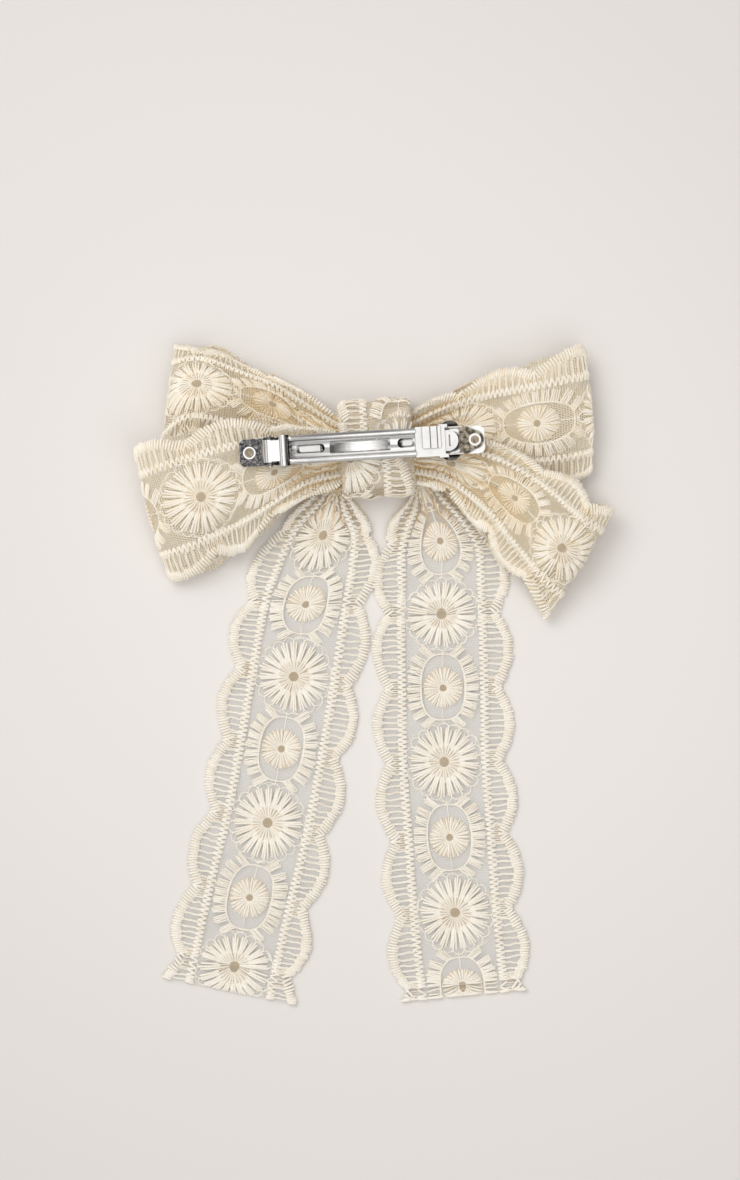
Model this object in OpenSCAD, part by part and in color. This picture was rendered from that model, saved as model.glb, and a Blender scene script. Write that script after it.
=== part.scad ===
// Lace hair bow on a French barrette, lying on its front with the clip up.
// X runs along the barrette from its hinge to its clasp, Y towards the top of the bow,
// Z out of the supporting surface. The origin is on that surface, under the barrette's centre.

/* [Lace] */
// Thickness of the lace ribbon's plain stand-in
lace_t = 0.8; // [0.5:0.1:0.9]
// Mean width of the lace ribbon in the tails
lace_w = 42.6; // [40:0.2:43]

/* [Knot] */
// Width of the knot along the barrette
knot_w = 23.4; // [23.4:0.1:24]
// Length of the knot across the barrette
knot_l = 30; // [29:0.5:31]
// Height of the knot above the surface
knot_h = 15.6; // [15.4:0.1:15.9]
// Thickness of the lace wrapped round the knot
wrap_t = 1.5; // [1:0.1:1.7]

/* [Barrette] */
// Width of the base plate
plate_w = 9; // [8.4:0.1:9.4]
// Thickness of the base plate
plate_t = 0.8; // [0.6:0.1:0.9]
// Rise of the plate's end tabs above its middle
plate_sag = 2.4; // [2:0.1:2.6]
// Radius of the left mounting hole
left_hole_r = 1.6; // [1.5:0.1:2]
// Inner radius of the eyelet in the right hole
eyelet_r = 1.35; // [1.2:0.05:1.7]
// Radius of the hinge pin
pin_r = 0.75; // [0.6:0.05:0.8]
// Width of the arm over its side flanges
arm_w = 9.4; // [9:0.1:9.6]
// Width of the tension bar
bar_w = 3; // [2:0.1:3.4]

/* [Hidden] */
$fn = 48;

// Knot
knot_x = 4.7;                      // the knot sits right of the barrette's centre
knot_y = -0.5;
knot_round = 6;
core_gap = 0.1;
thread_w = 5;
thread_t = 0.7;

// Barrette levels and stations
plate_half = 40;                   // half length over the end tabs
tab_start = 31.8;                  // the arch ends here and the flat tabs begin
tab_round = 2;
hole_x = 36.8;
eyelet_rim = 0.65;
pad_t = 0.7;
plate_z = knot_h + pad_t;          // underside of the plate's middle
tab_z = plate_z + plate_sag;       // underside of the end tabs
pin_x = -30.1;
pin_z = plate_z + 6.7;
pin_half = 5.15;
pin_play = 0.07;                   // radial play of the arm's knuckle on the pin
lug_t = 0.6;
lug_r = 1.8;
knuckle_r = 2.4;
web_t = 0.6;
web_z = pin_z + 1.9;               // underside of the arm's web when closed
arm_start = -23.2;
arm_end = 17.4;
hump_x = -25.5;                     // the rounded hump beside the hinge
dip_end = -22;                      // where the arm steps up from its dip to the rails
dip_drop = 1.1;
bead_r = 1;
bead_y = arm_w / 2 - 1.1;
flange_t = 0.6;
box_end = 27;
box_half = 4.9;
lap_x = 19.7;                      // the lap folded over the catch box from its upper side
lap_l = 5.9;
lap_below = 2.2;
lap_creases = [22.1, 24.4];
pocket_half = 5.4;
pocket_inner = 4.95;
cup_r = 3.4;
bar_t = 0.4;
bar_end_z = web_z - 1.3;           // underside of the tension bar where it passes the cross-bars
bar_bow = 1.9;
clasp_t = 0.5;
ear_in = 4.1;
ear_out = 4.6;
ear_z = tab_z + plate_t + clasp_t + 0.1;
ear_x0 = 25.8;
ear_x1 = 31.8;
wing_r = (ear_x1 - ear_x0) / 2;
wing_tilt = 35;
tail_split = -48;                  // the lace tails bend across this line
split_gap = 0.15;
tail_z = 0.5;

// ---- Ribbon surfaces ----
// A rib is [one edge, middle, other edge]; a ribbon is swept through its ribs in order.

// Smooth value between b and c, with neighbours a and d
function between(a, b, c, d, u) =
  0.5 * (2 * b + (c - a) * u + (2 * a - 5 * b + 4 * c - d) * u * u + (3 * b - a - 3 * c + d) * u * u * u);

// Rib at place s along a list of ribs, s from 0 to len(ribs) - 1
function rib_at(ribs, s) =
  let (n = len(ribs) - 1, i = min(floor(s), n - 1), u = s - i)
  [for (k = [0 : 2])
    between(ribs[max(i - 1, 0)][k], ribs[i][k], ribs[i + 1][k], ribs[min(i + 2, n)][k], u)];

// Point across a rib, t from -1 to 1, on the parabola through its three points
function across(rib, t) =
  rib[1] + t * (rib[2] - rib[0]) / 2 + t * t * ((rib[0] + rib[2]) / 2 - rib[1]);

function unit(v) = v / max(norm(v), 0.000001);

function surface_normal(ribs, s, t) =
  let (e = 0.02, n = len(ribs) - 1)
  unit(cross(
    across(rib_at(ribs, min(s + e, n)), t) - across(rib_at(ribs, max(s - e, 0)), t),
    across(rib_at(ribs, s), min(t + e, 1)) - across(rib_at(ribs, s), max(t - e, -1))));

// Closed ribbon of thickness lace_t, with ns steps between ribs and nt steps across
module ribbon(ribs, ns, nt) {
  rows = (len(ribs) - 1) * ns;
  row = nt + 1;
  layer = (rows + 1) * row;
  points = [for (side = [1, -1], i = [0 : rows], j = [0 : nt])
    let (s = i / ns, t = 2 * j / nt - 1)
    across(rib_at(ribs, s), t) + side * lace_t / 2 * surface_normal(ribs, s, t)];
  faces = concat(
    [for (i = [0 : rows - 1], j = [0 : nt - 1], k = [0, 1])
      let (a = i * row + j, b = a + 1, c = a + row, d = c + 1)
      k == 0 ? [a, b, d] : [a, d, c]],
    [for (i = [0 : rows - 1], j = [0 : nt - 1], k = [0, 1])
      let (a = layer + i * row + j, b = a + 1, c = a + row, d = c + 1)
      k == 0 ? [a, d, b] : [a, c, d]],
    [for (i = [0 : rows - 1], k = [0, 1])
      let (a = i * row, c = a + row)
      k == 0 ? [a, c, c + layer] : [a, c + layer, a + layer]],
    [for (i = [0 : rows - 1], k = [0, 1])
      let (a = i * row + nt, c = a + row)
      k == 0 ? [a, c + layer, c] : [a, a + layer, c + layer]],
    [for (j = [0 : nt - 1], k = [0, 1])
      let (a = j, b = a + 1)
      k == 0 ? [a, a + layer, b + layer] : [a, b + layer, b]],
    [for (j = [0 : nt - 1], k = [0, 1])
      let (a = rows * row + j, b = a + 1)
      k == 0 ? [a, b + layer, a + layer] : [a, b, b + layer]]);
  polyhedron(points, faces);
}

// Rib of a tail that lies flat: centre [x, y], heading in degrees from -Y
function tail_rib(x, y, heading, half = lace_w / 2) =
  let (w = half * [cos(heading), -sin(heading), 0])
  [[x, y, tail_z] - w, [x, y, tail_z], [x, y, tail_z] + w];

// Loops: back layer from the knot out to the fold, then the front layer back to the knot
upper_left_ribs = [
  [[-7.3, -8, 5.4], [-7.3, 2.5, 6.8], [-7.3, 12.2, 5.9]],
  [[-21, -5, 5], [-19, 9.5, 7.6], [-20, 20.9, 5.4]],
  [[-33, -2, 4.8], [-29, 16, 8.2], [-32, 26.5, 5]],
  [[-57, 3.5, 5.2], [-52, 23, 12.5], [-49.5, 36, 4.4]],
  [[-68, -4, 3.4], [-66.5, 18, 6.5], [-59.5, 38, 3]],
  [[-56, 4, 1.4], [-52, 23, 2], [-50, 36, 1.4]],
  [[-33, -1, 2.2], [-29, 14, 2.8], [-32, 26, 2.4]],
  [[-7.3, -8, 3.8], [-7.3, 2, 4.1], [-7.3, 12, 3.8]]
];
lower_left_ribs = [
  [[-7.3, -13, 10.2], [-7.3, -3, 12.2], [-7.3, 6, 10.9]],
  [[-21.5, -16.4, 8.4], [-20, -4.5, 14], [-20, 8.3, 12.2]],
  [[-36, -27.7, 7], [-34.5, -8, 15], [-36, 12.1, 13.8]],
  [[-48.5, -36.3, 5.5], [-53.5, -13.2, 15.6], [-59, 8.6, 14.8]],
  [[-65.6, -40.5, 3.6], [-71, -18.3, 8.5], [-74.7, 4.6, 12]],
  [[-49, -36, 1.4], [-53.5, -13.2, 4.4], [-58.5, 8, 9.8]],
  [[-36, -27.2, 3.6], [-34.5, -8, 7], [-36, 11.5, 10.2]],
  [[-21.5, -16, 5.6], [-20, -4.5, 8.4], [-20, 8, 9.8]],
  [[-7.3, -13, 8.2], [-7.3, -3, 9.2], [-7.3, 6, 8.8]]
];
upper_right_ribs = [
  [[16.7, -9, 5.4], [16.7, 1.5, 6.8], [16.7, 10.6, 5.9]],
  [[24, -9, 5.2], [25, 3.5, 7.4], [24, 14.6, 6.4]],
  [[38, -12, 5], [38, 4.5, 8.4], [39, 20.8, 7.4]],
  [[57.5, -17, 4.6], [57.7, 4.4, 11], [57.7, 25.3, 10]],
  [[74.7, -13.6, 4], [76, 6, 7], [74.8, 29.6, 6.5]],
  [[57.5, -17, 1.5], [57.7, 4.4, 2.2], [57.7, 25, 2.6]],
  [[38, -12, 2.2], [38, 4.5, 2.8], [39, 20.5, 3]],
  [[16.7, -9, 3.8], [16.7, 1.5, 4.1], [16.7, 10.4, 3.8]]
];
lower_right_ribs = [
  [[16.7, -13.2, 10.2], [16.7, -4.5, 12.2], [16.7, 4, 10.9]],
  [[25, -16, 8.8], [26, -6, 14], [26, 4.5, 12.2]],
  [[33, -25, 8], [38, -11.5, 15], [44, -1, 13.6]],
  [[38, -33, 7.5], [49, -20.5, 15.4], [61, -9.5, 13]],
  [[47.5, -47, 6.6], [62.5, -35.5, 14], [75.5, -19.5, 11.8]],
  [[57, -59.5, 4], [70.5, -42, 8.4], [81, -25, 8.6]],
  [[47.5, -46.5, 3], [62.5, -35.5, 3.6], [75, -20, 6.6]],
  [[38.5, -32.5, 4], [49, -20.5, 6.6], [60, -10, 9.2]],
  [[33.5, -24.5, 4.6], [38, -11.5, 7.6], [44, -1, 10.4]],
  [[25, -15.6, 6], [26, -6, 8.8], [26, 4.5, 9.8]],
  [[16.7, -13.2, 8.2], [16.7, -4.5, 9.2], [16.7, 4, 8.8]]
];
// Gathered tops of the tails, fanning from the knot to the bending line
left_top_ribs = [
  [[-7.5, -6, 2.3], [-7.5, -9.5, 2.5], [-7.4, -13, 2.3]],
  [[-15, -13.5, 1.9], [-11, -16.5, 2.1], [-6.6, -18, 1.9]],
  [[-26, -24.5, 1.2], [-13.5, -26.5, 1.5], [-1, -25.5, 1.2]],
  [[-37, -37, 0.6], [-18.5, -38, 0.6], [1.2, -36.5, 0.6]],
  [[-42.2, tail_split + split_gap, tail_z], [-20.9, tail_split + split_gap, tail_z],
   [0.4, tail_split + split_gap, tail_z]]
];
right_top_ribs = [
  [[16.8, -13, 2.3], [16.9, -9.5, 2.5], [16.9, -6, 2.3]],
  [[15.4, -18.4, 1.9], [20, -16.5, 2.1], [26, -13.5, 1.9]],
  [[8, -25.5, 1.2], [21.5, -26.5, 1.5], [36, -24, 1.2]],
  [[3.6, -36.5, 0.6], [23.6, -38, 0.6], [43.5, -36.5, 0.6]],
  [[2.2, tail_split + split_gap, tail_z], [23.4, tail_split + split_gap, tail_z],
   [44.6, tail_split + split_gap, tail_z]]
];
left_tail_ribs = [
  tail_rib(-21, tail_split - split_gap, 0),
  tail_rib(-27.1, -74, 13.5),
  tail_rib(-32.6, -97.6, 13.5),
  tail_rib(-38.6, -121.7, 16),
  tail_rib(-46.5, -146, 16),
  tail_rib(-54.9, -176.5, 15)
];
right_tail_ribs = [
  tail_rib(23.3, tail_split - split_gap, 0),
  tail_rib(22, -80.5, 2),
  tail_rib(20.9, -105.1, 1),
  tail_rib(21.2, -130.3, -1),
  tail_rib(22.8, -182.6, -2)
];

module upper_left_loop() { color("ivory") ribbon(upper_left_ribs, 5, 8); }
module upper_right_loop() { color("ivory") ribbon(upper_right_ribs, 5, 8); }
module lower_left_loop() { color("oldlace") ribbon(lower_left_ribs, 5, 8); }
module lower_right_loop() { color("oldlace") ribbon(lower_right_ribs, 4, 8); }
module left_tail_top() { color("linen") ribbon(left_top_ribs, 4, 8); }
module right_tail_top() { color("linen") ribbon(right_top_ribs, 4, 8); }
module left_tail() { color("linen") ribbon(left_tail_ribs, 3, 4); }
module right_tail() { color("linen") ribbon(right_tail_ribs, 3, 4); }

// ---- Knot ----
// Rectangle with round corners, centred
module rounded_rect(w, h, r) {
  square([w - 2 * r, h], center = true);
  square([w, h - 2 * r], center = true);
  for (x = [-1, 1], y = [-1, 1])
    translate([x * (w / 2 - r), y * (h / 2 - r)]) circle(r);
}

// Block of length len along X with a round-cornered section, shrunk by inset all round
module knot_block(len, inset) {
  translate([knot_x - len / 2, knot_y, knot_h / 2])
    rotate([90, 0, 90])
      linear_extrude(len)
        rounded_rect(knot_l - 2 * inset, knot_h - 2 * inset, knot_round - inset);
}

module knot_wrap() {
  color("antiquewhite") difference() {
    knot_block(knot_w, 0);
    knot_block(knot_w + 1, wrap_t);
  }
}

// Pinched middle of all the ribbons, waisted under its binding thread
module gather_core() {
  color("wheat") difference() {
    knot_block(knot_w, wrap_t + core_gap);
    difference() {
      knot_block(thread_w, 0);
      knot_block(thread_w + 1, wrap_t + core_gap + thread_t);
    }
  }
}

module binding_thread() {
  color("beige") difference() {
    knot_block(thread_w, wrap_t + core_gap);
    knot_block(thread_w + 1, wrap_t + core_gap + thread_t);
  }
}

// ---- Barrette ----
// Underside of the arched base plate at x, above its middle
function arch(x) = plate_sag * pow(min(abs(x), tab_start) / tab_start, 2);

// Points along the arch at height dz above the plate's underside
function arch_line(x0, x1, steps, dz) =
  [for (i = [0 : steps]) let (x = x0 + (x1 - x0) * i / steps) [x, plate_z + arch(x) + dz]];

// Extrudes an X-Z outline across the barrette, from y0 to y1
module across_y(y0, y1) {
  translate([0, y1, 0]) rotate([90, 0, 0]) linear_extrude(y1 - y0) children();
}

// Cylinder along Y between y0 and y1
module y_cylinder(x, z, r, y0, y1) {
  translate([x, y1, z]) rotate([90, 0, 0]) cylinder(h = y1 - y0, r = r);
}

// Hot glue that holds the plate to the knot
module glue_pad() {
  pad_half = 9;
  color("whitesmoke") across_y(-3.4, 3.4)
    polygon(concat([[pad_half, knot_h], [-pad_half, knot_h]], arch_line(-pad_half, pad_half, 6, -0.02)));
}

module base_plate() {
  color("silver") difference() {
    union() {
      intersection() {
        across_y(-plate_w, plate_w)
          polygon(concat(
            [[-plate_half, tab_z]], arch_line(-tab_start, tab_start, 16, 0), [[plate_half, tab_z]],
            [[plate_half, tab_z + plate_t]], arch_line(tab_start, -tab_start, 16, plate_t),
            [[-plate_half, tab_z + plate_t]]));
        translate([0, 0, plate_z - 1])
          linear_extrude(plate_sag + plate_t + 2) rounded_rect(2 * plate_half, plate_w, tab_round);
      }
      // Hinge lugs, folded up from the plate's sides
      for (y = [-plate_w / 2, plate_w / 2 - lug_t]) {
        translate([pin_x - lug_r, y, tab_z]) cube([2 * lug_r, lug_t, pin_z - tab_z]);
        y_cylinder(pin_x, pin_z, lug_r, y, y + lug_t);
      }
    }
    translate([-hole_x, 0, tab_z - 1]) cylinder(h = plate_t + 2, r = left_hole_r);
    translate([hole_x, 0, tab_z - 1]) cylinder(h = plate_t + 2, r = eyelet_r + 0.4);
    y_cylinder(pin_x, pin_z, pin_r, -plate_w, plate_w);
  }
}

module hinge_pin() {
  color("gainsboro") y_cylinder(pin_x, pin_z, pin_r, -pin_half, pin_half);
}

// Plan of a window in the arm's web from x0 to x1, with round ends of radius r
module slot_plan(x0, x1, w, r) {
  translate([(x0 + x1) / 2, 0]) rounded_rect(x1 - x0, w, r);
}

module clip_arm() {
  color("lightgray") difference() {
    union() {
      y_cylinder(pin_x, pin_z, knuckle_r, -3.7, 3.7);
      translate([pin_x, -3.4, pin_z + knuckle_r - 0.8]) cube([6, 6.8, 0.8]);
      y_cylinder(hump_x, web_z - 0.9, 1.9, -5, 5);
      // The web dips behind the hinge's hump, then steps up to the rails
      translate([hump_x, -arm_w / 2, web_z - dip_drop]) cube([dip_end - hump_x, arm_w, web_t]);
      translate([dip_end - web_t, -arm_w / 2, web_z - dip_drop]) cube([web_t, arm_w, dip_drop + web_t]);
      translate([dip_end - web_t, -arm_w / 2, web_z]) cube([arm_end - dip_end + web_t, arm_w, web_t]);
      for (side = [-1, 1]) {
        translate([arm_start, side * bead_y, web_z + 0.5]) {
          rotate([0, 90, 0]) cylinder(h = arm_end - arm_start, r = bead_r);
          sphere(bead_r);
        }
        translate([arm_start, side * (arm_w - flange_t) / 2 - flange_t / 2, web_z - 1])
          cube([arm_end - arm_start, flange_t, 1.2]);
      }
    }
    translate([0, 0, web_z - 0.5]) linear_extrude(2) {
      slot_plan(-21.6, -12.1, 2.8, 1.35);
      slot_plan(-10.5, 9.2, 4.2, 0.6);
      slot_plan(11.5, 17.1, 3.1, 1.5);
    }
    y_cylinder(pin_x, pin_z, pin_r + pin_play, -4, 4);
  }
}

// Pressed box at the arm's free end; its side pockets close over the clasp's ears
module catch_box() {
  top_z = web_z + 0.3;
  skirt_z = web_z - 2.7;
  color("gainsboro") difference() {
    union() {
      translate([arm_end, -box_half, top_z]) cube([box_end - arm_end, 2 * box_half, 0.7]);
      translate([lap_x, -lap_below, top_z + 0.6]) cube([lap_l, box_half + lap_below, 0.5]);
      translate([box_end + 0.9, 0, top_z - 0.6]) cylinder(h = 1, r = cup_r);
      translate([box_end - 0.5, -cup_r, top_z - 0.6]) cube([1.4, 2 * cup_r, 1]);
      for (side = [-1, 1]) {
        translate([arm_end, side * (box_half - 0.3) - 0.3, skirt_z]) cube([8.2, 0.6, 3.2]);
        translate([25.4, side * (pocket_half + pocket_inner) / 2 - 0.225, skirt_z + 0.2])
          cube([2.5, 0.45, 3.5]);
        translate([25, side * (pocket_half + 4.3) / 2 - 0.55, skirt_z + 0.2]) cube([0.6, 1.1, 3.5]);
        translate([25.4, side * (pocket_half + 4.3) / 2 - 0.55, top_z]) cube([2.5, 1.1, 0.7]);
      }
    }
    translate([28.2, -1.9, top_z]) cube([0.5, 3.8, 1]);
    for (x = lap_creases) translate([x, -lap_below - 1, top_z + 0.9]) cube([0.3, 2 * box_half, 0.4]);
  }
}

// Flat spring bowed towards the base plate, its tongues rising into the arm's end slots
module tension_bar() {
  bow = [for (i = [0 : 14]) let (x = -12.4 + 24.4 * i / 14, u = (x + 0.2) / 12.2)
    [x, bar_end_z - bar_bow * (1 - u * u)]];
  lower = concat([[-20.4, bar_end_z + 0.5], [-13.6, bar_end_z + 0.5]], bow,
    [[13, bar_end_z + 0.5], [16.4, bar_end_z + 0.5]]);
  upper = [for (i = [len(lower) - 1 : -1 : 0]) lower[i] + [0, bar_t]];
  color("white") intersection() {
    across_y(-bar_w / 2, bar_w / 2) polygon(concat(lower, upper));
    translate([0, 0, bar_end_z - 4]) linear_extrude(8) union() {
      slot_plan(-20.4, -13, 2, 0.95);
      translate([-13.2, -bar_w / 2]) square([25.8, bar_w]);
      slot_plan(12, 16.4, 1.7, 0.8);
    }
  }
}

// Shield-shaped foot of the clasp, riveted on the right tab
module clasp_plate() {
  color("darkgray") difference() {
    translate([0, 0, tab_z + plate_t]) linear_extrude(clasp_t) {
      polygon([[31.9, -4.5], [34, -4.5], [38.2, -2.4], [38.2, 2.4], [34, 4.5], [31.9, 4.5]]);
      translate([hole_x, 0]) circle(2.9);
    }
    translate([hole_x, 0, tab_z]) cylinder(h = 3, r = eyelet_r + 0.4);
  }
}

module clasp_eyelet() {
  color("gold") translate([hole_x, 0, tab_z]) difference() {
    union() {
      translate([0, 0, -0.3]) cylinder(h = plate_t + clasp_t + 0.6, r = eyelet_r + 0.4);
      translate([0, 0, -0.3]) cylinder(h = 0.3, r = eyelet_r + eyelet_rim);
      translate([0, 0, plate_t + clasp_t]) cylinder(h = 0.3, r = eyelet_r + eyelet_rim);
    }
    translate([0, 0, -1]) cylinder(h = 4, r = eyelet_r);
  }
}

// One springy ear of the clasp: an upright wall, a hook at its front and a finger wing
module release_ear() {
  translate([ear_x0 + 2.4, ear_in, ear_z]) cube([ear_x1 - ear_x0 - 1.4, ear_out - ear_in, 2.8]);
  translate([ear_x0, ear_in, ear_z]) cube([2.6, ear_out - ear_in, 1.2]);
  translate([ear_x0, ear_in, ear_z]) cube([1.7, ear_out - ear_in, 4]);
  translate([ear_x0 + wing_r, (ear_in + ear_out) / 2, ear_z + 0.3])
    rotate([wing_tilt, 0, 0])
      linear_extrude(0.5) intersection() {
        circle(wing_r);
        translate([-wing_r, 0]) square([2 * wing_r, wing_r]);
      }
}

module upper_release_ear() { color("dimgray") release_ear(); }
module lower_release_ear() { color("dimgray") mirror([0, 1, 0]) release_ear(); }

upper_left_loop();
upper_right_loop();
lower_left_loop();
lower_right_loop();
left_tail_top();
left_tail();
right_tail_top();
right_tail();
knot_wrap();
gather_core();
binding_thread();
glue_pad();
base_plate();
hinge_pin();
clip_arm();
catch_box();
tension_bar();
clasp_plate();
clasp_eyelet();
upper_release_ear();
lower_release_ear();
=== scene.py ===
import math

import bpy
import numpy as np
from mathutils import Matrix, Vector


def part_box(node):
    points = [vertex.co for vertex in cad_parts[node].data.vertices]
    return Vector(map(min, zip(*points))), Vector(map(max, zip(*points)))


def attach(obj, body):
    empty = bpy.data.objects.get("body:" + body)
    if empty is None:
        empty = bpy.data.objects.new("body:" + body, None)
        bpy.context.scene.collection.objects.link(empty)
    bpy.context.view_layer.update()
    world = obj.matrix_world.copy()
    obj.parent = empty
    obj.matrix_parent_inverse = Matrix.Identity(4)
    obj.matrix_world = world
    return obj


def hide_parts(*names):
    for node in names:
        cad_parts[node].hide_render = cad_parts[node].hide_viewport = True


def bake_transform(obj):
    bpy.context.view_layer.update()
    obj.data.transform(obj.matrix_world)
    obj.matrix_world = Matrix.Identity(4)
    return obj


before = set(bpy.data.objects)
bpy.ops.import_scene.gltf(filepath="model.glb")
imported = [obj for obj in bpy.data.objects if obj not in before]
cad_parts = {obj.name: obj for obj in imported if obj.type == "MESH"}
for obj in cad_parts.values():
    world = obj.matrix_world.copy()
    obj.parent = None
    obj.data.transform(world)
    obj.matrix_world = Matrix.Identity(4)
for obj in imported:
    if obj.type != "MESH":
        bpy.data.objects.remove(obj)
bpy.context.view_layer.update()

rng = np.random.default_rng(11)

# The lace is worked out in millimetres on a flat pattern: p runs along the ribbon, q across it.
# p is 0 at the centre of a large daisy; a small daisy lies half a repeat away on each side.
MM = 0.001
REPEAT = 48.8
HALF_REPEAT = REPEAT / 2
LACE_HALF = 23.3         # half width at the scallops' peaks
VALLEY_HALF = 18.9       # half width level with each daisy
BRAID_Q = 13.6           # the straight inner braid's centre
BRAID_W = 2.6
SCALLOP_W = 3.0
BRAID_PITCH, SCALLOP_PITCH = 0.78, 0.82     # from one stitch to the next
RESTING = 0.4            # the lace's middle is never nearer to the table than this
THREAD_R = 0.27          # radius of a plain stitch
FINE_R = 0.18            # radius of the thin linking threads
NET_CELL = 0.72          # the net's hexagons, side to side
NET_INSET = 0.4          # the net ends this far inside the scallops' edge
LARGE_EYE, LARGE_DISC = 1.6, 6.7            # radii in a large daisy
SMALL_EYE, SMALL_DISC = 1.2, 6.5
# The daisies' eyes are given the deepest colour: painted shade in the open eye.
EYE_SHADE_TONE = 3.4           # tone of the net in an eye: the deepest colour, and too deep to glow
# Ridges of the gathered lace: distance from the centre line, width and height.
RIDGES = ((20.3, 2.0, 1.0), (BRAID_Q, 1.7, 1.0), (7.2, 1.5, 0.6), (0, 2.2, 0.8))
FULL_GATHER = 3.2        # spare width, as a share, at which the lace counts as fully gathered
RUFFLE_LENGTH = 21       # of one wave along a loop's edge
HOLLOW_P, HOLLOW_Q, HOLLOW_DEPTH = 11, 7, 1.8


# ---------------------------------------------------------------- materials

class Shader:
    """A node material under construction, with short helpers for the nodes used here."""

    def __init__(self, name):
        self.material = bpy.data.materials.new(name)
        self.material.use_nodes = True
        self.nodes = self.material.node_tree.nodes
        self.links = self.material.node_tree.links
        self.nodes.clear()
        output = self.nodes.new("ShaderNodeOutputMaterial")
        self.bsdf = self.nodes.new("ShaderNodeBsdfPrincipled")
        self.links.new(self.bsdf.outputs[0], output.inputs[0])

    def set(self, **values):
        for key, value in values.items():
            self.bsdf.inputs[key.replace("_", " ")].default_value = value

    def node(self, kind, inputs=None, **settings):
        made = self.nodes.new("ShaderNode" + kind)
        for key, value in settings.items():
            setattr(made, key, value)
        for key, value in (inputs or {}).items():
            if isinstance(value, bpy.types.NodeSocket):
                self.links.new(value, made.inputs[key])
            else:
                made.inputs[key].default_value = value
        return made

    def math(self, operation, a, b=0.0):
        return self.node("Math", {0: a, 1: b}, operation=operation).outputs[0]

    def place(self, scale=(1, 1, 1)):
        """Object coordinates, stretched by scale."""
        coords = self.node("TexCoord").outputs["Object"]
        return self.node("Mapping", {"Vector": coords, "Scale": scale}).outputs[0]

    def noise(self, scale, detail=3.0, vector=None):
        inputs = {"Vector": vector or self.place(), "Scale": scale, "Detail": detail}
        return self.node("TexNoise", inputs).outputs["Fac"]

    def remap(self, value, low, high, to_low=0.0, to_high=1.0):
        inputs = {0: value, 1: low, 2: high, 3: to_low, 4: to_high}
        return self.node("MapRange", inputs, clamp=True).outputs[0]

    def mix(self, factor, a, b):
        made = self.node("Mix", data_type="RGBA")
        for socket, value in ((0, factor), (6, a), (7, b)):
            if isinstance(value, bpy.types.NodeSocket):
                self.links.new(value, made.inputs[socket])
            else:
                made.inputs[socket].default_value = value
        return made.outputs[2]

    def plug(self, value, socket):
        self.links.new(value, self.bsdf.inputs[socket])

    def painted_fold_glow(self, tone_and_shade):
        """Painted glow: emission standing in for warm light that scatters through the cotton down in its
        folds, but not in a daisy's eye.
        """
        in_folds = self.remap(tone_and_shade, 0.9, 2.2, 0.0, 0.17)
        not_eye = self.remap(tone_and_shade, EYE_SHADE_TONE - 0.4, EYE_SHADE_TONE - 0.7)
        self.plug(self.math("MULTIPLY", in_folds, not_eye), "Emission Strength")
        self.set(Emission_Color=(0.95, 0.64, 0.26, 1))

    def bump(self, height, distance, strength=1.0):
        made = self.node("Bump", {"Height": height, "Distance": distance, "Strength": strength})
        self.plug(made.outputs[0], "Normal")


# Colours are linear. A thread goes from its light colour to its shade colour as its tone rises to 1, and to
# this deepest shade at 2; besides random differences the tone carries painted shade.
DEEPEST_SHADE = (0.54, 0.44, 0.31, 1)


def embroidery_material(name, light, shade):
    """Matt cotton thread: tone differs from stitch to stitch and drifts along the ribbon, and the mesh's tone
    adds painted shade in folds, on flanks and in eyes.
    """
    s = Shader(name)
    tone_and_shade = s.node("Attribute", attribute_name="tone_and_shade").outputs["Fac"]
    drift = s.math("MULTIPLY", s.remap(s.noise(90, 2), 0.35, 0.65), 0.2)
    grain = s.remap(s.noise(2400, 2), 0.35, 0.65, -0.3, 0.6)
    tone_and_shade = s.math("ADD", s.math("ADD", drift, grain), tone_and_shade)
    colour = s.mix(s.remap(tone_and_shade, 0, 1), light, shade)
    s.plug(s.mix(s.remap(tone_and_shade, 1, 2), colour, DEEPEST_SHADE), "Base Color")
    s.painted_fold_glow(tone_and_shade)
    fibre = s.noise(2600, 4)
    s.plug(s.remap(fibre, 0.3, 0.7, 0.7, 0.95), "Roughness")
    s.bump(fibre, 0.00006, 0.5)
    s.set(Sheen_Weight=0.15, Sheen_Roughness=0.5, Specular_IOR_Level=0.2)
    return s.material


def net_material(name, colour, fold_shade_colour, cover=0.0):
    """Fine hexagonal net: three crossed waves leave a honeycomb of thread round open cells.

    Down in the folds its colour turns to the second, deeper colour given, which is painted shade; cover above
    0 makes the thread thicker.
    """
    s = Shader(name)
    uv = s.node("TexCoord").outputs["UV"]
    turns = 2 * math.pi / NET_CELL
    total = None
    for angle in (0, 60, 120):
        direction = (turns * math.cos(math.radians(angle)), turns * math.sin(math.radians(angle)), 0)
        phase = s.node("VectorMath", {0: uv, 1: direction}, operation="DOT_PRODUCT").outputs["Value"]
        wave = s.math("COSINE", phase)
        total = wave if total is None else s.math("ADD", total, wave)
    thread = s.remap(total, cover - 0.45, cover - 0.95)
    s.plug(thread, "Alpha")
    patchy = s.noise(300, 2)
    colour = s.mix(patchy, colour, tuple(0.9 * c for c in colour[:3]) + (1,))
    fold_shade = s.node("Attribute", attribute_name="tone_and_shade").outputs["Fac"]
    s.plug(s.mix(s.remap(fold_shade, 0, 1), colour, fold_shade_colour), "Base Color")
    s.painted_fold_glow(fold_shade)
    s.plug(s.remap(s.noise(2500, 2), 0.3, 0.7, 0.6, 0.85), "Roughness")
    s.set(Sheen_Weight=0.2, Specular_IOR_Level=0.25)
    return s.material


# Places on the barrette, in metres.
RECESS = 0.0011          # reach of the shadow in recesses
BROKEN_EDGE = 0.00012    # bevel of the metal's edges
LEFT_HOLE = (-0.0368, 0, 0.0195)
HUMP_X = -0.0255         # crest of the arm's hump
DIP_FLOOR_Z = 0.0255     # floor of the dip between the hump and the rails
LAP_CREASES = (0.02225, 0.02455)
LAP_EDGE_Y = -0.0022
ARM_COLOUR = (0.80, 0.795, 0.785, 1)


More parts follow.
